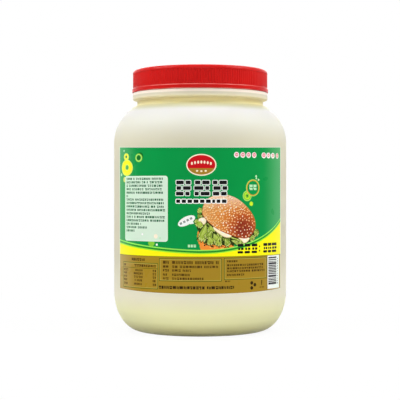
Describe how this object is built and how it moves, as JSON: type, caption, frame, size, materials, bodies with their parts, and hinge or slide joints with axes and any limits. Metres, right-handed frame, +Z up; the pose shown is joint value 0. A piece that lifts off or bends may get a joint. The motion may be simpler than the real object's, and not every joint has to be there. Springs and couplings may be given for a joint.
{
  "type": "mayonnaise jar",
  "caption": "Shut wide-mouth jar of mayonnaise: a cream plastic jar with round shoulders and heel, a ribbed red screw lid, and a printed label round the front.",
  "frame": {"origin": "centre of the base, on the surface that the jar stands on", "axes": "+Z up along the jar's axis; the middle of the label faces -Y, and +X is to the label's right as it is read"},
  "size_m": [0.1466, 0.1469, 0.2207],
  "materials": {
    "cream_plastic": "smooth translucent cream plastic, slightly glossy",
    "red_plastic": "glossy moulded red plastic",
    "printed_film": "glossy printed film in green, yellow and gold"
  },
  "bodies": {
    "root": {"jar": "cream_plastic", "lid": "red_plastic", "label": "printed_film"}
  },
  "joints": []
}
